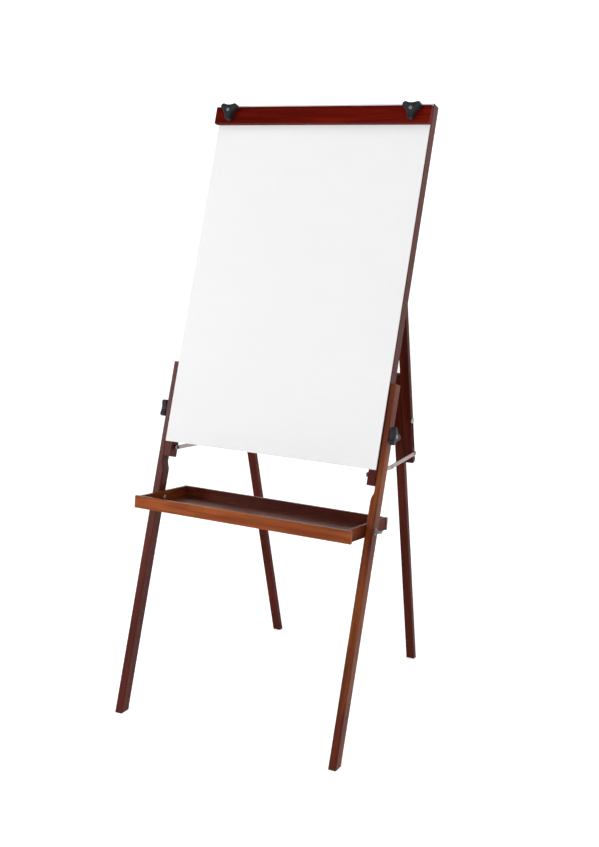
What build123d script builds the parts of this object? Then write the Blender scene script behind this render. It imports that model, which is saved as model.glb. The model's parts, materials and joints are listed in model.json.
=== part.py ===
from build123d import *
import math
import os

# Folding wooden flipchart easel, in millimetres. +Z is up, the board faces -Y, and the
# easel is mirrored about X = 0. The origin is the middle of its footprint, on the floor.

# ---- Driving dimensions: how the two frames stand ----
LEAN = 19.6  # the board frame leans back from upright, degrees
REAR_LEAN = 12.0  # the rear frame leans forward from upright, degrees
TOE_IN = 1.2  # each rear board runs inwards towards the floor, degrees
PIVOT_UP = 1430.0  # rear frame's pivot, from the front feet along the stiles
PIVOT_DEPTH = 19.0  # and behind the front face of the stiles

# ---- Board frame, measured across, rearwards and up along the stiles ----
STILE_OUTER = 350.0
STILE_WIDTH = 25.0
STILE_INNER = STILE_OUTER - STILE_WIDTH
STILE_DEPTH = 35.0
STILE_BOTTOM = 777.0
STILE_TOP = 1863.0
PANEL_HALF_WIDTH = 348.0
PANEL_THICKNESS = 3.0
PANEL_CORNER = 2.0
PANEL_BOTTOM = 821.0
PANEL_TOP = 1862.0
TOP_RAIL = (1793.0, 1853.0)
TOP_RAIL_DEPTH = 25.0
MIDDLE_RAIL = (1290.0, 1340.0)
BOTTOM_RAIL = (834.0, 884.0)
THIN_RAIL_DEPTH = 12.0
EDGE = 1.5  # rounding of the long edges of the wood

# ---- Clamp bar along the top ----
BAR_HALF_LENGTH = 353.0
BAR = (1800.0, 1851.5)
BAR_THICKNESS = 19.0
BAR_EDGE = 2.0
CLAMP_X = 299.0
CLAMP_UP = 1836.0

# ---- Front legs, outside the stiles ----
LEG_OUTER = 367.0
LEG_GAP = 0.5
LEG_INNER_TOP = STILE_OUTER + LEG_GAP
LEG_INNER = 343.0
LEG_DEPTH = 32.0
LEG_SET_BACK = (STILE_DEPTH - LEG_DEPTH) / 2
LEG_ROUNDING = 3.0  # of the inner front edge, beside the panel
LEG_TOP = 1064.0
SHOULDER = (735.0, 765.0)
LEG_BOLT_UP = 920.0
LEG_OUT = 85.0  # how far a leg draws out from where it stands
PAD_THICKNESS = 3.0

# ---- Rear frame, measured from the pivot down the boards ----
REAR_BOARD_WIDTH = 29.0
REAR_DEPTH = 18.0
REAR_BOARD_ABOVE = 25.0
REAR_BOARD_BELOW = 649.0
REAR_LEG_WIDTH = 27.0
REAR_LEG_GAP = 1.0
REAR_LEG_TOP = 365.0
REAR_BOLT_DOWN = 510.0
REAR_RAIL = (250.0, 320.0)
REAR_RAIL_DEPTH = 12.0
PIVOT_GAP = 1.8  # between stile and rear board at the pivot
PIVOT_WASHER = (12.0, 1.5)  # radius and thickness

# ---- Folding stays ----
STAY_WIDTH = 12.0
STAY_THICKNESS = 2.5
STAY_END = 8.0  # each bar runs on past the middle of its holes
STAY_FRONT_UP = 807.0
STAY_REAR_DOWN = 619.0
STAY_SAG = 10.0  # the middle rivet rests this far below the line between the screws
STAY_GAP = 0.4  # between the two bars of a stay
REAR_STAY_FACE = 314.5  # outer faces of the bars
FRONT_STAY_FACE = REAR_STAY_FACE + STAY_GAP + STAY_THICKNESS
STAY_SCREW_END = 288.0  # where the rear screws end, inside the board
STAY_HEAD = 4.5  # radius of the screw and rivet heads
STAY_SPACER = 6.0
STAY_PLAY = 0.1  # beside a bar, on its screw
RIVET_PLAY = 0.05  # from the tip of each half rivet to the middle of the gap

# ---- Pen tray ----
TRAY_FRONT_OUTER = 351.0  # the front board runs across in front of the legs
TRAY_BACK_OUTER = 343.5
TRAY_OUTER = 342.0  # the ends stand between the legs
TRAY_DEPTH = 257.0
TRAY_HEIGHT = 36.0
TRAY_SETBACK = 4.0  # its middle is behind its pivot
TRAY_BOARD = 11.0
TRAY_FLOOR = 5.0
TRAY_PIVOT_UP = 653.6
TRAY_TILT = 7.4  # its back edge sits lower than its front edge, degrees
NAIL_RADIUS = 1.5
NAIL_LENGTH = 38.0
NAIL_HEIGHTS = (-9.0, 10.0)
TRAY_HEAD = (7.0, 3.0)  # radius and height of its bolts' heads
TRAY_WASHER = (9.0, 1.5)
TRAY_BOLT_SHOWS = 19.0  # beyond the leg

# ---- Hardware ----
BOLT = 4.0  # radius of the M8 bolts
SMALL_BOLT = 3.0  # radius of the M6 bolts and of the stay screws
FREE = 0.05  # radial clearance where a shaft turns or slides
HEAD_RADIUS = 9.0
HEAD_HEIGHT = 3.5
HEAD_PLAY = 0.25  # all round a bolt head that slides in its channel
CLAMP_KNOB = (30.5, 22.0)  # reach of the lobes and height
LEG_KNOB = (27.5, 20.0)
LOBE_SHARE = 0.28  # radius of a lobe's tip, as a share of the reach
WAIST_SHARE = 0.52  # and from the middle to a hollow
COLLAR_RADIUS = 13.0
COLLAR_HEIGHT = 3.5
INSERT_RADIUS = 5.0
BOLT_SHOWS = 1.0  # a bolt's end, beyond the knob
DOWEL = 4.0
THIN_DOWEL = 2.0
DOWEL_HALF_LENGTH = 20.0
DOWEL_INSET = 14.0  # from a rail's edge to its dowel
SCREW_DEPTH = 20.0  # how far the pivot screws and the stay screws run into the wood
SMALL_SCREW_DEPTH = 16.0
THROUGH = 40.0  # longer than any bore made with it


def turned(y, z, degrees):
    """A point of the YZ plane turned about X, positive from +Y towards +Z."""
    a = math.radians(degrees)
    return y * math.cos(a) - z * math.sin(a), y * math.sin(a) + z * math.cos(a)


# The back of the rear feet sets the middle of the footprint.
PIVOT_FROM_TOE = turned(PIVOT_DEPTH, PIVOT_UP, -LEAN)
REAR_SLOPE = math.tan(math.radians(REAR_LEAN))
REAR_HALF_FOOT = REAR_DEPTH / 2 / math.cos(math.radians(REAR_LEAN))
FOOTPRINT = PIVOT_FROM_TOE[0] + PIVOT_FROM_TOE[1] * REAR_SLOPE + REAR_HALF_FOOT
TOE_Y = -(FOOTPRINT + LEG_SET_BACK / math.cos(math.radians(LEAN))) / 2
PIVOT = (TOE_Y + PIVOT_FROM_TOE[0], PIVOT_FROM_TOE[1])


def in_board(y, z):
    """World Y and Z of a point of the board frame."""
    turned_y, turned_z = turned(y, z, -LEAN)
    return TOE_Y + turned_y, turned_z


def in_rear(y, z):
    """World Y and Z of a point of the rear frame, measured from its pivot."""
    turned_y, turned_z = turned(y, z, REAR_LEAN)
    return PIVOT[0] + turned_y, PIVOT[1] + turned_z


STAY_FRONT = in_board(PIVOT_DEPTH, STAY_FRONT_UP)
STAY_REAR = in_rear(0, -STAY_REAR_DOWN)
STAY_SPAN = math.dist(STAY_FRONT, STAY_REAR)
STAY_MIDDLE = (
    (STAY_FRONT[0] + STAY_REAR[0]) / 2 + STAY_SAG * (STAY_REAR[1] - STAY_FRONT[1]) / STAY_SPAN,
    (STAY_FRONT[1] + STAY_REAR[1]) / 2 - STAY_SAG * (STAY_REAR[0] - STAY_FRONT[0]) / STAY_SPAN,
)
TRAY_PIVOT = in_board(STILE_DEPTH / 2, TRAY_PIVOT_UP)

BOARD_FRAME = Location((0, TOE_Y, 0), (-LEAN, 0, 0))
REAR_FRAME = Location((0, PIVOT[0], PIVOT[1]), (REAR_LEAN, 0, 0))
REAR_OUTER = STILE_INNER - PIVOT_GAP
REAR_SIDE = REAR_FRAME * Location((REAR_OUTER, 0, 0), (0, TOE_IN, 0))
TRAY_FRAME = Location((0, TRAY_PIVOT[0], TRAY_PIVOT[1]), (-TRAY_TILT, 0, 0))


# ---- Basic shapes ----
def block(x, y, z):
    """A box between two values on each axis."""
    size = [end - start for start, end in (x, y, z)]
    middle = [(end + start) / 2 for start, end in (x, y, z)]
    return Pos(*middle) * Box(*size)


def plank(x, y, z, along, radius=EDGE):
    """A box with the edges along one axis rounded."""
    box = block(x, y, z)
    return fillet(box.edges().filter_by(along), radius)


def rod(start, end, radius, y=0.0, z=0.0):
    """A cylinder along X."""
    return Pos((start + end) / 2, y, z) * Rot(0, 90, 0) * Cylinder(radius, abs(end - start))


def rod_rearwards(start, end, radius, x, z):
    """A cylinder along the local Y axis."""
    return Pos(x, (start + end) / 2, z) * Rot(90, 0, 0) * Cylinder(radius, end - start)


def slot_along(x, y, z, radius):
    """A round-ended slot through X: y is its middle and z its two end centres."""
    ends = rod(x[0], x[1], radius, y, z[0]) + rod(x[0], x[1], radius, y, z[1])
    return ends + block(x, (y - radius, y + radius), z)


def mirrored(part):
    return part.mirror(Plane.YZ)


def domed_head(radius, height):
    """A low round bolt head standing on the XY plane."""
    head = Pos(0, 0, height / 2) * Cylinder(radius, height)
    return fillet(head.edges().group_by(Axis.Z)[-1], height * 0.8)


def polar(radius, degrees):
    angle = math.radians(degrees)
    return radius * math.cos(angle), radius * math.sin(angle)


def knob_outline(knob_reach):
    """Three rounded lobes joined by smooth hollows, one lobe towards -Y."""
    tip = knob_reach * LOBE_SHARE
    waist = knob_reach * WAIST_SHARE
    reach = knob_reach - tip
    hollow = (tip**2 - reach**2 + reach * waist - waist**2) / (2 * waist - reach - 2 * tip)
    arcs = []
    for lobe in (30, 150, 270):
        before, after = (polar(waist + hollow, lobe + turn) for turn in (-60, 60))
        start = meeting_point(polar(reach, lobe), before, tip)
        middle = meeting_point(polar(reach, lobe), after, tip)
        end = meeting_point(polar(reach, lobe + 120), after, tip)
        arcs.append(ThreePointArc(start, polar(knob_reach, lobe), middle))
        arcs.append(ThreePointArc(middle, polar(waist, lobe + 60), end))
    return make_face(arcs)


def meeting_point(lobe_centre, hollow_centre, tip):
    """Where the rounding of a lobe runs into the hollow beside it."""
    share = tip / math.dist(lobe_centre, hollow_centre)
    return tuple(a + (b - a) * share for a, b in zip(lobe_centre, hollow_centre))


def knob(size):
    """A three-lobed hand knob on the XY plane, bored for its metal insert."""
    reach, height = size
    collar = Pos(0, 0, COLLAR_HEIGHT / 2) * Cylinder(COLLAR_RADIUS, COLLAR_HEIGHT)
    grip = Pos(0, 0, COLLAR_HEIGHT) * extrude(knob_outline(reach), height - COLLAR_HEIGHT)
    grip = fillet(grip.edges().group_by(Axis.Z)[-1], 2.5)
    grip = chamfer(grip.edges().group_by(Axis.Z)[0], 1.5)
    return collar + grip - Pos(0, 0, height / 2) * Cylinder(INSERT_RADIUS, height)


def knob_insert(size):
    """The threaded metal bush moulded into a knob."""
    height = size[1]
    bush = Pos(0, 0, height / 2) * Cylinder(INSERT_RADIUS, height)
    return bush - Pos(0, 0, height / 2) * Cylinder(BOLT + FREE, height)


def bolt(length, radius=BOLT, head_radius=HEAD_RADIUS, head_height=HEAD_HEIGHT):
    """A carriage bolt: its shank runs up from the XY plane and its head hangs below."""
    shank = Pos(0, 0, length / 2) * Cylinder(radius, length)
    shank = chamfer(shank.edges().group_by(Axis.Z)[-1], radius / 4)
    return shank + Rot(180, 0, 0) * domed_head(head_radius, head_height)


# ---- Board frame ----
def dowel_places():
    """Centre lines of the rail dowels in the right stile, as depth, height and radius."""
    places = []
    for low, high in (TOP_RAIL, MIDDLE_RAIL, BOTTOM_RAIL):
        thick = (low, high) == TOP_RAIL
        depth = (TOP_RAIL_DEPTH if thick else THIN_RAIL_DEPTH) / 2
        radius = DOWEL if thick else THIN_DOWEL
        places += [(depth, up, radius) for up in (low + DOWEL_INSET, high - DOWEL_INSET)]
    return places


def rail_dowels():
    right = [
        rod(STILE_INNER - DOWEL_HALF_LENGTH, STILE_INNER + DOWEL_HALF_LENGTH, radius, depth, up)
        for depth, up, radius in dowel_places()
    ]
    return right + [mirrored(dowel) for dowel in right]


def without(part, tools):
    for tool in tools:
        part -= tool
    return part


def right_stile():
    across = (STILE_INNER, STILE_OUTER)
    stile = plank(across, (0, STILE_DEPTH), (STILE_BOTTOM, STILE_TOP), Axis.Z)
    bolt_run = (LEG_BOLT_UP - LEG_OUT, LEG_BOLT_UP)
    middle = STILE_DEPTH / 2
    stile -= slot_along(across, middle, bolt_run, BOLT + FREE)
    head_channel = (STILE_INNER, STILE_INNER + HEAD_HEIGHT + 2 * HEAD_PLAY)
    stile -= slot_along(head_channel, middle, bolt_run, HEAD_RADIUS + HEAD_PLAY)
    stile -= rod(STILE_INNER, STILE_INNER + SCREW_DEPTH, BOLT, PIVOT_DEPTH, PIVOT_UP)
    stile -= rod(STILE_INNER, STILE_INNER + SMALL_SCREW_DEPTH, SMALL_BOLT, PIVOT_DEPTH, STAY_FRONT_UP)
    return without(stile, rail_dowels())


def rail(height, depth):
    board = plank((-STILE_INNER, STILE_INNER), (0, depth), height, Axis.X)
    return without(board, rail_dowels())


def writing_panel():
    across = (-PANEL_HALF_WIDTH, PANEL_HALF_WIDTH)
    panel = block(across, (-PANEL_THICKNESS, 0), (PANEL_BOTTOM, PANEL_TOP))
    panel = fillet(panel.edges().filter_by(Axis.Y), PANEL_CORNER)
    return without(panel, [clamp_hole(x, BOLT) for x in (-CLAMP_X, CLAMP_X)])


def clamp_hole(x, radius):
    return rod_rearwards(-THROUGH, TOP_RAIL_DEPTH, radius, x, CLAMP_UP)


def clamp_bolt(x):
    length = TOP_RAIL_DEPTH + PANEL_THICKNESS + BAR_THICKNESS + CLAMP_KNOB[1] + BOLT_SHOWS
    place = Plane((x, TOP_RAIL_DEPTH, CLAMP_UP), x_dir=(1, 0, 0), z_dir=(0, -1, 0))
    return place * bolt(length)


def pivot_screw():
    """The rear frame's pivot: a shouldered screw driven from inside, and its washer."""
    inner = REAR_OUTER - REAR_BOARD_WIDTH - 0.6
    shank = rod(inner, STILE_INNER + SCREW_DEPTH, BOLT, PIVOT_DEPTH, PIVOT_UP)
    head = rod(inner - HEAD_HEIGHT, inner, HEAD_RADIUS, PIVOT_DEPTH, PIVOT_UP)
    radius, thickness = PIVOT_WASHER
    washer = rod(STILE_INNER - thickness, STILE_INNER, radius, PIVOT_DEPTH, PIVOT_UP)
    return [shank + head, washer - shank]


def stay_front_screw():
    """Holds a folding stay off the inside of the stile, over a spacer."""
    inner = FRONT_STAY_FACE - STAY_THICKNESS - STAY_PLAY
    shank = rod(inner, STILE_INNER + SMALL_SCREW_DEPTH, SMALL_BOLT, PIVOT_DEPTH, STAY_FRONT_UP)
    head = rod(inner - 2, inner, STAY_HEAD, PIVOT_DEPTH, STAY_FRONT_UP)
    spacer = rod(FRONT_STAY_FACE + STAY_PLAY, STILE_INNER, STAY_SPACER, PIVOT_DEPTH, STAY_FRONT_UP)
    return [shank + head, spacer - shank]


# ---- Clamp bar ----
def clamp_bar():
    rear = -PANEL_THICKNESS
    bar = plank((-BAR_HALF_LENGTH, BAR_HALF_LENGTH), (rear - BAR_THICKNESS, rear), BAR, Axis.X, BAR_EDGE)
    return without(bar, [clamp_hole(x, BOLT + FREE) for x in (-CLAMP_X, CLAMP_X)])


def on_clamp(x):
    """The plane that a clamp knob stands on, one lobe pointing down."""
    front = -PANEL_THICKNESS - BAR_THICKNESS
    return Plane((x, front, CLAMP_UP), x_dir=(1, 0, 0), z_dir=(0, -1, 0))


# ---- Front legs ----
def right_front_leg_blank():
    """The whole leg and its pad as one bar, running on below the floor."""
    below = -THROUGH
    with BuildLine() as outline:
        Polyline((LEG_INNER, SHOULDER[0]), (LEG_INNER, below), (LEG_OUTER, below), (LEG_OUTER, LEG_TOP),
                 (LEG_INNER_TOP, LEG_TOP), (LEG_INNER_TOP, SHOULDER[1]))
        Spline((LEG_INNER, SHOULDER[0]), (LEG_INNER_TOP, SHOULDER[1]), tangents=[(0, 1), (0, 1)])
    face = Plane.XZ * make_face(outline.edges())
    leg = Pos(0, LEG_SET_BACK + LEG_DEPTH, 0) * extrude(face, LEG_DEPTH)
    outer_edges = leg.edges().filter_by(Axis.Z).group_by(Axis.X)[-1]
    leg = fillet(outer_edges, EDGE)
    inner_edges = leg.edges().filter_by(Axis.Z).filter_by_position(Axis.X, LEG_INNER_TOP, LEG_INNER_TOP)
    leg = fillet(inner_edges.sort_by(Axis.Y)[0], LEG_ROUNDING)
    middle = STILE_DEPTH / 2
    leg -= rod(LEG_INNER_TOP, LEG_OUTER, BOLT, middle, LEG_BOLT_UP)
    leg -= rod(LEG_INNER, LEG_OUTER, SMALL_BOLT + FREE, middle, TRAY_PIVOT_UP)
    return BOARD_FRAME * leg


def between_levels(part, low, high):
    """The slice of a part between two heights."""
    return part & block((-500, 500), (-500, 500), (low, high))


def front_leg_bolt():
    """Fixed in the leg, with its head running in the channel of the stile."""
    start = STILE_INNER + HEAD_HEIGHT + HEAD_PLAY
    place = Plane((start, STILE_DEPTH / 2, LEG_BOLT_UP), x_dir=(0, 1, 0), z_dir=(1, 0, 0))
    return place * bolt(LEG_OUTER - start + LEG_KNOB[1] + BOLT_SHOWS)


def on_front_leg():
    """The plane that a front leg's knob stands on, one lobe pointing back."""
    return Plane((LEG_OUTER, STILE_DEPTH / 2, LEG_BOLT_UP), x_dir=(0, 0, 1), z_dir=(1, 0, 0))


# ---- Pen tray, measured from its pivot ----
TRAY_INNER = TRAY_OUTER - TRAY_BOARD
TRAY_FRONT = TRAY_SETBACK - TRAY_DEPTH / 2
TRAY_BACK = TRAY_SETBACK + TRAY_DEPTH / 2
TRAY_HALF_HEIGHT = TRAY_HEIGHT / 2


def tray_long_board(outer, front):
    y = (front, front + TRAY_BOARD)
    board = plank((-outer, outer), y, (-TRAY_HALF_HEIGHT, TRAY_HALF_HEIGHT), Axis.X)
    return without(board, tray_nails())


def tray_right_end():
    end = plank((TRAY_INNER, TRAY_OUTER), (TRAY_FRONT + TRAY_BOARD, TRAY_BACK - TRAY_BOARD),
                (-TRAY_HALF_HEIGHT, TRAY_HALF_HEIGHT), Axis.Y)
    end -= rod(TRAY_INNER, TRAY_OUTER, SMALL_BOLT)
    return without(end, tray_nails())


def tray_floor():
    y = (TRAY_FRONT + TRAY_BOARD, TRAY_BACK - TRAY_BOARD)
    return block((-TRAY_INNER, TRAY_INNER), y, (-TRAY_HALF_HEIGHT, -TRAY_HALF_HEIGHT + TRAY_FLOOR))


def tray_nails():
    """Two nails through each long board into each end."""
    nails = []
    across = TRAY_OUTER - TRAY_BOARD / 2
    for side in (-across, across):
        for up in NAIL_HEIGHTS:
            nails.append(rod_rearwards(TRAY_FRONT, TRAY_FRONT + NAIL_LENGTH, NAIL_RADIUS, side, up))
            nails.append(rod_rearwards(TRAY_BACK - NAIL_LENGTH, TRAY_BACK, NAIL_RADIUS, side, up))
    return nails


def tray_bolt():
    """Its head is inside the tray and its end carries the wing nut."""
    place = Plane((TRAY_INNER, 0, 0), x_dir=(0, 1, 0), z_dir=(1, 0, 0))
    return place * bolt(LEG_OUTER + TRAY_BOLT_SHOWS - TRAY_INNER, SMALL_BOLT, *TRAY_HEAD)


def tray_washer():
    radius, thickness = TRAY_WASHER
    washer = rod(LEG_OUTER, LEG_OUTER + thickness, radius)
    return washer - rod(LEG_OUTER, LEG_OUTER + thickness, SMALL_BOLT + FREE)


def wing_nut():
    """A hub on the XY plane with two raised wings, bored to turn on its bolt."""
    hub = Cone(6.5, 5.2, 9.0, align=(Align.CENTER, Align.CENTER, Align.MIN))
    outline = Plane.XZ * Polygon((3.0, 1.5), (9.0, 1.5), (15.0, 9.0), (15.0, 15.5), (9.5, 15.5), (3.0, 7.0),
                                 align=None)
    wing = Pos(0, 1.25, 0) * extrude(outline, 2.5)
    wing = fillet(wing.edges().filter_by(Axis.Y).group_by(Axis.Z)[-1], 2.0)
    nut = hub + wing + wing.mirror(Plane.YZ)
    return nut - Pos(0, 0, 5) * Cylinder(SMALL_BOLT + FREE, 30)


def on_tray_washer():
    return Plane((LEG_OUTER + TRAY_WASHER[1], 0, 0), x_dir=(0, 1, 0), z_dir=(1, 0, 0))


# ---- Rear frame ----
def right_rear_board():
    """Measured in the toed-in side frame, then bored square to the easel."""
    board = block((-REAR_BOARD_WIDTH, 0), (-REAR_DEPTH / 2, REAR_DEPTH / 2),
                  (-REAR_BOARD_BELOW, REAR_BOARD_ABOVE))
    ends = board.edges().filter_by(Axis.X).group_by(Axis.Z)
    rounded = list(ends[-1]) + [ends[0].sort_by(Axis.Y)[-1]]
    board = fillet(rounded, REAR_DEPTH / 2 - 1.0)
    sides = board.faces().filter_by(Axis.X)
    board = fillet([edge for side in sides for edge in side.edges()], EDGE)
    bolt_run = (-REAR_BOLT_DOWN - LEG_OUT, -REAR_BOLT_DOWN)
    board -= slot_along((-REAR_BOARD_WIDTH, 0), 0, bolt_run, BOLT + FREE)
    board = REAR_SIDE * board
    pivot_bore = REAR_FRAME * rod(REAR_OUTER - THROUGH, REAR_OUTER + THROUGH, BOLT + FREE)
    stay_bore = REAR_FRAME * rod(STAY_SCREW_END, REAR_OUTER, SMALL_BOLT, 0, -STAY_REAR_DOWN)
    return without(board, [pivot_bore, stay_bore] + rear_dowels())


def rear_dowels():
    right = []
    inner = REAR_OUTER - REAR_BOARD_WIDTH - math.sin(math.radians(TOE_IN)) * REAR_RAIL[0]
    for down in (REAR_RAIL[0] + DOWEL_INSET, REAR_RAIL[1] - DOWEL_INSET):
        dowel = rod(inner - DOWEL_HALF_LENGTH, inner + DOWEL_HALF_LENGTH, THIN_DOWEL, 3.0, -down)
        right.append(REAR_FRAME * dowel)
    return right + [mirrored(dowel) for dowel in right]


def rear_cross_rail():
    """Its ends are cut to the toe-in of the boards it stands between."""
    across = (-REAR_OUTER, REAR_OUTER)
    depth = (REAR_DEPTH / 2 - REAR_RAIL_DEPTH, REAR_DEPTH / 2)
    board = REAR_FRAME * plank(across, depth, (-REAR_RAIL[1], -REAR_RAIL[0]), Axis.X)
    beyond = (-REAR_BOARD_WIDTH, REAR_BOARD_WIDTH)
    right = REAR_SIDE * block(beyond, (-REAR_DEPTH, REAR_DEPTH), (-REAR_BOARD_BELOW, 0))
    return without(board, [right, mirrored(right)] + rear_dowels())


def stay_rear_screw(board):
    """Holds a folding stay to the rear board, over a thin washer."""
    outer = REAR_STAY_FACE + STAY_PLAY
    inner = outer - STAY_THICKNESS - 2 * STAY_PLAY
    shank = rod(STAY_SCREW_END, outer, SMALL_BOLT, 0, -STAY_REAR_DOWN)
    head = rod(outer, outer + 1.6, STAY_HEAD, 0, -STAY_REAR_DOWN)
    screw = REAR_FRAME * (shank + head)
    washer = rod(inner - SMALL_SCREW_DEPTH, inner, STAY_SPACER, 0, -STAY_REAR_DOWN)
    return screw, REAR_FRAME * washer - board - screw


def right_rear_leg_blank():
    """The sliding lower leg and its pad as one bar, running on below the floor."""
    outer = -REAR_BOARD_WIDTH - REAR_LEG_GAP
    inner = outer - REAR_LEG_WIDTH
    below = -PIVOT[1] - 120.0
    leg = plank((inner, outer), (-REAR_DEPTH / 2, REAR_DEPTH / 2), (below, -REAR_LEG_TOP), Axis.Z)
    leg -= rod(inner, outer, BOLT, 0, -REAR_BOLT_DOWN)
    return REAR_SIDE * leg


def rear_leg_bolt():
    inner = REAR_BOARD_WIDTH + REAR_LEG_GAP + REAR_LEG_WIDTH
    place = Plane((0.1, 0, -REAR_BOLT_DOWN), x_dir=(0, -1, 0), z_dir=(-1, 0, 0))
    return REAR_SIDE * (place * bolt(inner + LEG_KNOB[1] + BOLT_SHOWS))


def on_rear_leg():
    inner = -REAR_BOARD_WIDTH - REAR_LEG_GAP - REAR_LEG_WIDTH
    return Plane((inner, 0, -REAR_BOLT_DOWN), x_dir=(0, -1, 0), z_dir=(-1, 0, 0))


# ---- Folding stays: two flat bars each side, meeting at a rivet ----
def stay_bar(start, end, outer_face):
    """A flat bar between two points of the YZ plane, turning on a screw at its start."""
    length = math.dist(start, end)
    angle = math.degrees(math.atan2(end[1] - start[1], end[0] - start[0]))
    across = (outer_face - STAY_THICKNESS, outer_face)
    bar = plank(across, (-STAY_END, length + STAY_END), (-STAY_WIDTH / 2, STAY_WIDTH / 2), Axis.X, 4.0)
    bar -= rod(*across, SMALL_BOLT + FREE)
    bar -= rod(*across, SMALL_BOLT, length)
    return Location((0, start[0], start[1]), (angle, 0, 0)) * bar


def rivet_half(face, away):
    """The half of a middle rivet that stays with one bar: away is -1 inside and 1 outside."""
    y, z = STAY_MIDDLE
    tip = face - away * (STAY_THICKNESS + STAY_GAP / 2 - RIVET_PLAY)
    shank = rod(min(face, tip), max(face, tip), SMALL_BOLT, y, z)
    head = (face, face + away * 1.2)
    return shank + rod(min(head), max(head), STAY_HEAD, y, z)


# ---- All the nodes ----
def save(name, parts):
    solids = [solid for part in parts for solid in part.solids()]
    shape = solids[0] if len(solids) == 1 else Compound(children=solids)
    export_step(shape, f"parts/{name}.step")


def save_pair(name, part):
    save(f"right_{name}", [part])
    save(f"left_{name}", [mirrored(part)])


def save_leg_knobs(name, place):
    save_pair(f"{name}_knob", place * knob(LEG_KNOB))
    save_pair(f"{name}_knob_insert", place * knob_insert(LEG_KNOB))


def both(parts):
    return parts + [mirrored(part) for part in parts]


def write_board_frame():
    save_pair("stile", BOARD_FRAME * right_stile())
    rails = {"top_rail": (TOP_RAIL, TOP_RAIL_DEPTH), "middle_rail": (MIDDLE_RAIL, THIN_RAIL_DEPTH),
             "bottom_rail": (BOTTOM_RAIL, THIN_RAIL_DEPTH)}
    for name, (height, depth) in rails.items():
        board = rail(height, depth)
        if name == "top_rail":
            board = without(board, [clamp_hole(x, BOLT) for x in (-CLAMP_X, CLAMP_X)])
        save(name, [BOARD_FRAME * board])
    save("rail_dowels", [BOARD_FRAME * dowel for dowel in rail_dowels()])
    save("writing_panel", [BOARD_FRAME * writing_panel()])
    save("clamp_bolts", [BOARD_FRAME * clamp_bolt(x) for x in (-CLAMP_X, CLAMP_X)])
    save("pivot_screws", both([BOARD_FRAME * part for part in pivot_screw()]))
    save("stay_front_screws", both([BOARD_FRAME * part for part in stay_front_screw()]))


def write_clamp():
    save("clamp_bar", [BOARD_FRAME * clamp_bar()])
    for name, x in (("right", CLAMP_X), ("left", -CLAMP_X)):
        place = BOARD_FRAME * on_clamp(x).location
        save(f"{name}_clamp_knob", [place * knob(CLAMP_KNOB)])
        save(f"{name}_clamp_knob_insert", [place * knob_insert(CLAMP_KNOB)])


def write_front_legs():
    blank = right_front_leg_blank()
    save_pair("front_leg", between_levels(blank, PAD_THICKNESS, 2000))
    save("front_foot_pads", both([between_levels(blank, 0, PAD_THICKNESS)]))
    save("front_leg_bolts", both([BOARD_FRAME * front_leg_bolt()]))
    save_leg_knobs("front_leg", BOARD_FRAME * on_front_leg().location)


def write_tray():
    save("tray_front_board", [TRAY_FRAME * tray_long_board(TRAY_FRONT_OUTER, TRAY_FRONT)])
    save("tray_back_board", [TRAY_FRAME * tray_long_board(TRAY_BACK_OUTER, TRAY_BACK - TRAY_BOARD)])
    save_pair("tray_end", TRAY_FRAME * tray_right_end())
    save("tray_floor", [TRAY_FRAME * tray_floor()])
    save("tray_nails", [TRAY_FRAME * nail for nail in tray_nails()])
    save("tray_bolts", both([TRAY_FRAME * tray_bolt()]))
    save("tray_washers", both([TRAY_FRAME * tray_washer()]))
    save_pair("wing_nut", TRAY_FRAME * (on_tray_washer() * wing_nut()))


def write_rear_frame():
    board = right_rear_board()
    save_pair("rear_board", board)
    save("rear_cross_rail", [rear_cross_rail()])
    save("rear_rail_dowels", rear_dowels())
    screw, washer = stay_rear_screw(board)
    save("stay_rear_screws", both([screw]))
    save("stay_rear_washers", both([washer]))
    blank = right_rear_leg_blank()
    save_pair("rear_leg", between_levels(blank, PAD_THICKNESS, 2000))
    save_pair("rear_foot_pad", between_levels(blank, 0, PAD_THICKNESS))
    save_pair("rear_leg_bolt", rear_leg_bolt())
    save_leg_knobs("rear_leg", REAR_SIDE * on_rear_leg().location)


def write_stays():
    save_pair("front_stay", stay_bar(STAY_FRONT, STAY_MIDDLE, FRONT_STAY_FACE))
    save_pair("rear_stay", stay_bar(STAY_REAR, STAY_MIDDLE, REAR_STAY_FACE))
    save_pair("front_stay_rivet", rivet_half(FRONT_STAY_FACE, 1))
    save_pair("rear_stay_rivet", rivet_half(REAR_STAY_FACE - STAY_THICKNESS, -1))


def main():
    os.makedirs("parts", exist_ok=True)
    write_board_frame()
    write_clamp()
    write_front_legs()
    write_tray()
    write_rear_frame()
    write_stays()


if __name__ == "__main__":
    main()
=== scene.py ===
import json
import math

import bpy
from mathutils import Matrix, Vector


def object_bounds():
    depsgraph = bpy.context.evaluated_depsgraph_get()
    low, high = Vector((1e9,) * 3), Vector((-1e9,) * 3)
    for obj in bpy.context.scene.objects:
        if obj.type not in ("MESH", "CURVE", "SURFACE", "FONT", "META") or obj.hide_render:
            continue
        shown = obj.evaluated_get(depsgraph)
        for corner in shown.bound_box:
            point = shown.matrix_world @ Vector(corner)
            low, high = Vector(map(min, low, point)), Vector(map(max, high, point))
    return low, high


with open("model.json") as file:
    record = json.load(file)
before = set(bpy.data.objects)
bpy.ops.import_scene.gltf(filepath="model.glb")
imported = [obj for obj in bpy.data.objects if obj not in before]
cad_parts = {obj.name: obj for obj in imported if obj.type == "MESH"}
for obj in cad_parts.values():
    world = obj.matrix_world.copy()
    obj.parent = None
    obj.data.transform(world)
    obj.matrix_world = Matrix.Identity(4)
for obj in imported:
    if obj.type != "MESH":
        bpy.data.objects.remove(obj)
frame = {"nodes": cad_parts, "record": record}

CAD_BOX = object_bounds()

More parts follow.
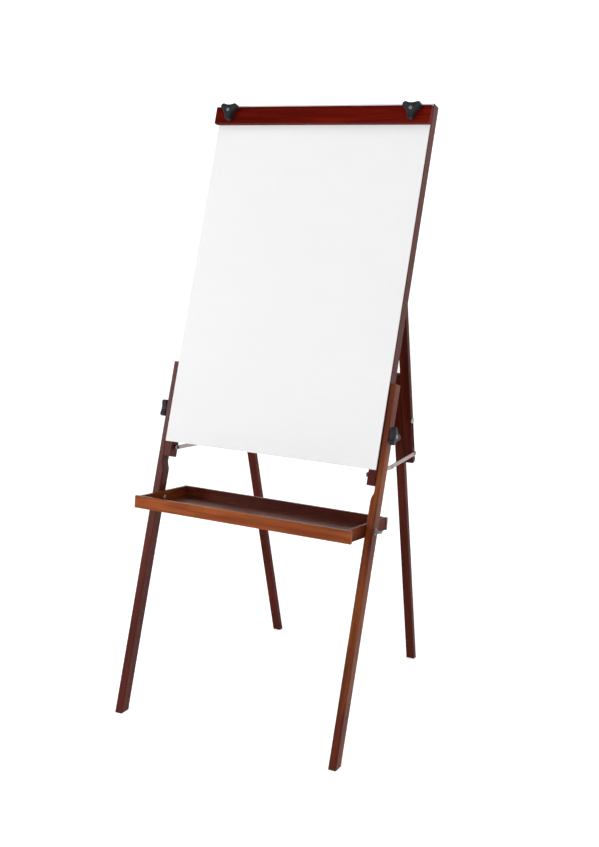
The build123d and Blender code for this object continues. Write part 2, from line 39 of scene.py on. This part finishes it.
# ---- Camera, from the middle of the front edge of the footprint, in metres ----
CAMERA_FROM_FEET = (1.7086, -2.6843, 1.6767)
CAMERA_YAW = 28.41  # degrees, towards -X
CAMERA_PITCH = 13.36  # degrees below level
CAMERA_LENS = 52.13
SENSOR_WIDTH = 36.0  # millimetres, as the lens is

# ---- How the pieces lean, which their grain follows ----
BOARD_LEAN = math.radians(19.6)
REAR_LEAN = math.radians(12.0)
TRAY_TILT = math.radians(7.4)

# ---- Grain: how finely each noise is laid, across the grain twice and then along it ----
STREAK_SCALE = (26, 26, 1.3)
BAND_SCALE = (9, 9, 0.55)
PORE_SCALE = (150, 150, 5.0)
PATCH_SCALE = (4, 4, 1.0)
BEECH_SCALE = (120, 120, 6)
GRAIN_SHIFT = (1.37, 0.71, 2.13)  # from one piece's grain to the next one's

# ---- Grain: how much of the stain's own colour is left in each mark ----
STREAK_SHADE = 0.30
BAND_SHADE = 0.55
PORE_SHADE = 0.25

# ---- Studio, in metres ----
FLOOR_RADIUS = 6.0
SWEEP_RADIUS = 1.5
SWEEP_STEPS = 12
WALL_TOP = 6.0
WALL_SIDES = 96
STUDIO_WHITE = (0.92, 0.92, 0.92)
STUDIO_GLOW = 0.50
WORLD_STRENGTH = 0.10
EASEL_MIDDLE = (0, 0, 0.9)
LEFT_LEG_TOP = (-0.35, -0.1, 0.95)

NODES = frame["nodes"]


# ---- Shader building ----
class Shader:
    """One material's node tree, with short calls that add and link nodes."""

    def __init__(self, name):
        self.material = bpy.data.materials.new(name)
        self.material.use_nodes = True
        self.tree = self.material.node_tree
        self.surface = self.tree.nodes["Principled BSDF"]

    def node(self, kind, inputs=(), **settings):
        node = self.tree.nodes.new(kind)
        for key, value in settings.items():
            setattr(node, key, value)
        for socket, value in dict(inputs).items():
            self.feed(node.inputs[socket], value)
        return node

    def feed(self, socket, value):
        if isinstance(value, bpy.types.NodeSocket):
            self.tree.links.new(value, socket)
        else:
            socket.default_value = value

    def place(self, turn=(0, 0, 0), scale=(1, 1, 1), offset=(0, 0, 0)):
        """Object coordinates, turned so that the grain runs along local Z."""
        where = self.node("ShaderNodeTexCoord").outputs["Object"]
        turned = self.node("ShaderNodeVectorRotate", {"Vector": where, "Rotation": turn},
                           rotation_type="EULER_XYZ")
        mapped = self.node("ShaderNodeMapping", {"Vector": turned.outputs[0], "Scale": scale,
                                                 "Location": offset})
        return mapped.outputs[0]

    def noise(self, where, scale, detail=4.0, roughness=0.5, distortion=0.0):
        inputs = {"Vector": where, "Scale": scale, "Detail": detail, "Roughness": roughness,
                  "Distortion": distortion}
        return self.node("ShaderNodeTexNoise", inputs).outputs["Fac"]

    def spread(self, value, low, high, to_low=0.0, to_high=1.0):
        inputs = {"Value": value, "From Min": low, "From Max": high,
                  "To Min": to_low, "To Max": to_high}
        return self.node("ShaderNodeMapRange", inputs).outputs[0]

    def math(self, operation, a, b):
        return self.node("ShaderNodeMath", {0: a, 1: b}, operation=operation).outputs[0]

    def mix(self, share, a, b):
        node = self.node("ShaderNodeMix", data_type="RGBA")
        for socket, value in (("Factor_Float", share), ("A_Color", a), ("B_Color", b)):
            self.feed(next(i for i in node.inputs if i.identifier == socket), value)
        return next(o for o in node.outputs if o.identifier == "Result_Color")

    def bump(self, height, strength, distance):
        inputs = {"Height": height, "Strength": strength, "Distance": distance}
        return self.node("ShaderNodeBump", inputs).outputs[0]

    def finish(self, inputs):
        for name, value in inputs.items():
            self.feed(self.surface.inputs[name], value)
        return self.material


def rgba(color, factor=1.0):
    return tuple(channel * factor for channel in color) + (1.0,)


# ---- Materials ----
def stained_wood(name, color, warm, turn, seed, gloss):
    """Straight-grained hardwood whose stain took unevenly: warm patches and dark streaks."""
    s = Shader(name)
    offset = tuple(seed * shift for shift in GRAIN_SHIFT)
    streaks = s.noise(s.place(turn, STREAK_SCALE, offset), 3.0, 5.0, 0.6, 0.35)
    bands = s.noise(s.place(turn, BAND_SCALE, offset), 3.0, 3.0, 0.5, 0.8)
    pores = s.noise(s.place(turn, PORE_SCALE, offset), 4.0, 3.0, 0.7)
    patches = s.noise(s.place(turn, PATCH_SCALE, offset), 2.4, 2.0)
    tone = s.mix(s.spread(patches, 0.44, 0.62, 0.0, 0.9), rgba(color), rgba(warm))
    streaked = s.mix(0.5, tone, rgba(color, STREAK_SHADE))
    tone = s.mix(s.spread(streaks, 0.40, 0.60), streaked, tone)
    tone = s.mix(s.spread(bands, 0.42, 0.60, 0.0, 0.6), tone, rgba(color, BAND_SHADE))
    tone = s.mix(s.spread(pores, 0.58, 0.70, 0.0, 0.6), tone, rgba(color, PORE_SHADE))
    height = s.math("ADD", streaks, s.math("MULTIPLY", pores, 0.5))
    return s.finish({"Base Color": tone, "Roughness": s.spread(streaks, 0.3, 0.7, 0.26, 0.40),
                     "Specular IOR Level": gloss, "Normal": s.bump(height, 0.25, 0.0006)})


def plain_wood(name, color, turn):
    """Turned hardwood with no stain on it."""
    s = Shader(name)
    grain = s.noise(s.place(turn, BEECH_SCALE), 3.0, 4.0, 0.6)
    tone = s.mix(s.spread(grain, 0.35, 0.65), rgba(color, 0.75), rgba(color, 1.15))
    return s.finish({"Base Color": tone, "Roughness": 0.65, "Normal": s.bump(grain, 0.3, 0.0004)})


def laminate(name, color):
    """A smooth white writing surface with the faintest ghosting of wiped ink."""
    s = Shader(name)
    wiped = s.noise(s.place(scale=(3, 3, 9)), 2.0, 5.0, 0.6, 0.4)
    fine = s.noise(s.place(), 900.0, 2.0)
    tone = s.mix(s.spread(wiped, 0.3, 0.7), rgba(color, 0.985), rgba(color))
    return s.finish({"Base Color": tone, "Roughness": s.spread(wiped, 0.3, 0.7, 0.62, 0.72),
                     "Specular IOR Level": 0.15, "Normal": s.bump(fine, 0.03, 0.0002)})


def plated_steel(name, color, roughness=0.32, seed=0.0):
    """Cloudy plating with fine scratches; the seed moves the clouds."""
    s = Shader(name)
    cloud = s.noise(s.place(offset=(seed, 0, 0)), 60.0, 4.0, 0.6)
    scratches = s.noise(s.place(scale=(400, 60, 60)), 6.0, 3.0, 0.7)
    tone = s.mix(s.spread(cloud, 0.35, 0.7), rgba(color, 0.82), rgba(color, 1.08))
    worn = s.spread(cloud, 0.3, 0.7, roughness - 0.07, roughness + 0.14)
    return s.finish({"Base Color": tone, "Metallic": 0.95, "Roughness": worn,
                     "Normal": s.bump(scratches, 0.12, 0.0002)})


def moulded_plastic(name, color):
    """Black plastic with a fine moulded grain, a little rubbed."""
    s = Shader(name)
    grain = s.noise(s.place(), 1500.0, 2.0)
    rubbed = s.noise(s.place(), 45.0, 4.0, 0.6)
    tone = s.mix(s.spread(rubbed, 0.35, 0.7), rgba(color, 0.8), rgba(color, 1.5))
    worn = s.spread(rubbed, 0.3, 0.7, 0.36, 0.52)
    return s.finish({"Base Color": tone, "Roughness": worn, "Specular IOR Level": 0.16,
                     "Normal": s.bump(grain, 0.15, 0.0003)})


def rubber(name, color):
    """Dark matt pads with some dust on them."""
    s = Shader(name)
    dust = s.noise(s.place(), 90.0, 5.0, 0.7)
    tone = s.mix(s.spread(dust, 0.5, 0.8, 0.0, 0.5), rgba(color), rgba(color, 3.0))
    return s.finish({"Base Color": tone, "Roughness": 0.8, "Normal": s.bump(dust, 0.3, 0.0004)})


def studio_paint(name, color, glow):
    """Pale matt paint, lifted by its own glow so that it stays even out to the edges."""
    s = Shader(name)
    cloud = s.noise(s.place(), 0.7, 3.0)
    tone = s.mix(cloud, rgba(color, 0.97), rgba(color))
    return s.finish({"Base Color": tone, "Roughness": 0.9, "Specular IOR Level": 0.1,
                     "Emission Color": tone, "Emission Strength": glow})


UPRIGHT_GRAIN = (BOARD_LEAN, 0, 0)
REAR_GRAIN = (-REAR_LEAN, 0, 0)
CROSS_GRAIN = (0, math.radians(-90), 0)
DEPTH_GRAIN = (math.radians(90) + TRAY_TILT, 0, 0)

MAHOGANY = (0.105, 0.018, 0.0065)
ORANGE_MAHOGANY = (0.27, 0.068, 0.012)
BURGUNDY = (0.085, 0.0125, 0.0075)
DARK_MAHOGANY = (0.072, 0.0095, 0.0050)
BAR_RED = (0.100, 0.0050, 0.0020)
BRIGHT_RED = (0.165, 0.0080, 0.0030)
TRAY_BROWN = (0.24, 0.052, 0.015)
TRAY_ORANGE = (0.38, 0.108, 0.028)
FLOOR_BROWN = (0.120, 0.030, 0.016)
FLOOR_LIGHT = (0.20, 0.070, 0.040)

# Stain colour, its warm patches, grain direction and specular level
WOODS = {
    "upright_wood": (BURGUNDY, MAHOGANY, UPRIGHT_GRAIN, 0.08),
    "leg_wood": (MAHOGANY, ORANGE_MAHOGANY, UPRIGHT_GRAIN, 0.08),
    "cross_wood": (MAHOGANY, ORANGE_MAHOGANY, CROSS_GRAIN, 0.05),
    "bar_wood": (BAR_RED, BRIGHT_RED, CROSS_GRAIN, 0.02),
    "rear_wood": (DARK_MAHOGANY, MAHOGANY, REAR_GRAIN, 0.05),
    "tray_wood": (TRAY_BROWN, TRAY_ORANGE, CROSS_GRAIN, 0.06),
    "tray_end_wood": (MAHOGANY, ORANGE_MAHOGANY, DEPTH_GRAIN, 0.03),
    "tray_floor_wood": (FLOOR_BROWN, FLOOR_LIGHT, CROSS_GRAIN, 0.16),
}

# Nodes given a redder and darker stain than the rest of their slot
NODE_WOODS = {
    "left_front_leg": (BURGUNDY, MAHOGANY, UPRIGHT_GRAIN, 0.10),
    "tray_back_board": (BURGUNDY, MAHOGANY, CROSS_GRAIN, 0.16),
}


def plain_finishes():
    """The finishes that every piece of a slot shares, and that of the blackened screws."""
    return {
        "dowel_wood": plain_wood("Plain beech", (0.42, 0.25, 0.12), CROSS_GRAIN),
        "panel_laminate": laminate("White laminate", (0.70, 0.70, 0.702)),
        "bolt_steel": plated_steel("Zinc plated bolts", (0.34, 0.34, 0.33)),
        "stay_front_screws": plated_steel("Blackened screws", (0.03, 0.022, 0.02), 0.5, 11.0),
        "insert_steel": plated_steel("Turned inserts", (0.42, 0.43, 0.45), 0.26, 3.0),
        "nail_steel": plated_steel("Nail wire", (0.07, 0.035, 0.025), 0.45, 5.0),
        "wing_nut_steel": plated_steel("Cast wing nuts", (0.30, 0.28, 0.28), 0.38, 7.0),
        "stay_steel": plated_steel("Stay bars", (0.36, 0.31, 0.31), 0.36, 9.0),
        "knob_plastic": moulded_plastic("Black knobs", (0.013, 0.0135, 0.016)),
        "foot_plastic": rubber("Foot pads", (0.02, 0.017, 0.015)),
    }


def finish_nodes():
    """Every wooden node gets its own grain; the other nodes share their slot's finish."""
    shared = plain_finishes()
    for number, entry in enumerate(frame["record"]["subparts"]):
        slot = entry["material_slot"]
        node = entry["node"]
        if slot in WOODS:
            color, warm, grain, gloss = NODE_WOODS.get(node, WOODS[slot])
            finish = stained_wood(f"Stained wood {node}", color, warm, grain, number, gloss)
        else:
            finish = shared.get(node, shared[slot])
        data = NODES[node].data
        data.materials.clear()
        data.materials.append(finish)


# ---- Studio ----
def backdrop():
    """A round floor that sweeps up into a high wall, so no horizon shows from any side."""
    arc = [math.radians(90 * step / SWEEP_STEPS) for step in range(SWEEP_STEPS + 1)]
    profile = [(FLOOR_RADIUS + SWEEP_RADIUS * math.sin(a), SWEEP_RADIUS * (1 - math.cos(a)))
               for a in arc]
    profile.append((FLOOR_RADIUS + SWEEP_RADIUS, WALL_TOP))
    turns = [math.tau * step / WALL_SIDES for step in range(WALL_SIDES)]
    points = [(0, 0, 0)]
    points += [(r * math.cos(t), r * math.sin(t), z) for r, z in profile for t in turns]
    faces = [(0, 1 + step, 1 + (step + 1) % WALL_SIDES) for step in range(WALL_SIDES)]
    for ring in range(len(profile) - 1):
        inner = 1 + ring * WALL_SIDES
        outer = inner + WALL_SIDES
        for step in range(WALL_SIDES):
            after = (step + 1) % WALL_SIDES
            faces.append((inner + step, outer + step, outer + after, inner + after))
    mesh = bpy.data.meshes.new("Backdrop")
    mesh.from_pydata(points, [], faces)
    mesh.materials.append(studio_paint("Studio paint", STUDIO_WHITE, STUDIO_GLOW))
    mesh.shade_smooth()
    stage = bpy.data.objects.new("Backdrop", mesh)
    bpy.context.scene.collection.objects.link(stage)


def aim(thing, target):
    """Turn a lamp, which shines along its own -Z, towards a point."""
    direction = [b - a for a, b in zip(thing.location, target)]
    level = math.hypot(direction[0], direction[1])
    thing.rotation_euler = (math.atan2(level, -direction[2]), 0,
                            math.atan2(direction[1], direction[0]) - math.pi / 2)


def softbox(name, place, target, size, power):
    """A white rectangular area light, its sizes in metres and its power in watts."""
    light = bpy.data.lights.new(name, "AREA")
    light.shape = "RECTANGLE"
    light.size, light.size_y = size
    light.energy = power
    lamp = bpy.data.objects.new(name, light)
    bpy.context.scene.collection.objects.link(lamp)
    lamp.location = place
    aim(lamp, target)


def studio_light():
    world = bpy.data.worlds.new("Studio")
    bpy.context.scene.world = world
    world.use_nodes = True
    background = world.node_tree.nodes["Background"]
    background.inputs["Color"].default_value = (1, 1, 1, 1)
    background.inputs["Strength"].default_value = WORLD_STRENGTH
    softbox("Key", (-2.1, -2.5, 2.0), LEFT_LEG_TOP, (0.6, 0.9), 32)
    softbox("Front", (1.4, -4.4, 2.6), EASEL_MIDDLE, (2.2, 1.6), 26)
    softbox("Overhead", (0.3, -1.2, 4.2), EASEL_MIDDLE, (3.0, 2.4), 26)
    softbox("Right", (3.6, -0.6, 2.4), EASEL_MIDDLE, (1.4, 2.2), 8)
    softbox("Back", (0.6, 3.4, 3.0), EASEL_MIDDLE, (2.4, 1.6), 30)


def camera():
    data = bpy.data.cameras.new("Camera")
    data.sensor_width = SENSOR_WIDTH
    data.lens = CAMERA_LENS
    view = bpy.data.objects.new("Camera", data)
    bpy.context.scene.collection.objects.link(view)
    front = CAD_BOX[0][1]
    view.location = (CAMERA_FROM_FEET[0], front + CAMERA_FROM_FEET[1], CAMERA_FROM_FEET[2])
    view.rotation_euler = (math.radians(90 - CAMERA_PITCH), 0, math.radians(CAMERA_YAW))
    bpy.context.scene.camera = view


finish_nodes()
backdrop()
studio_light()
camera()
bpy.context.scene.view_settings.view_transform = "Standard"
bpy.context.view_layer.update()
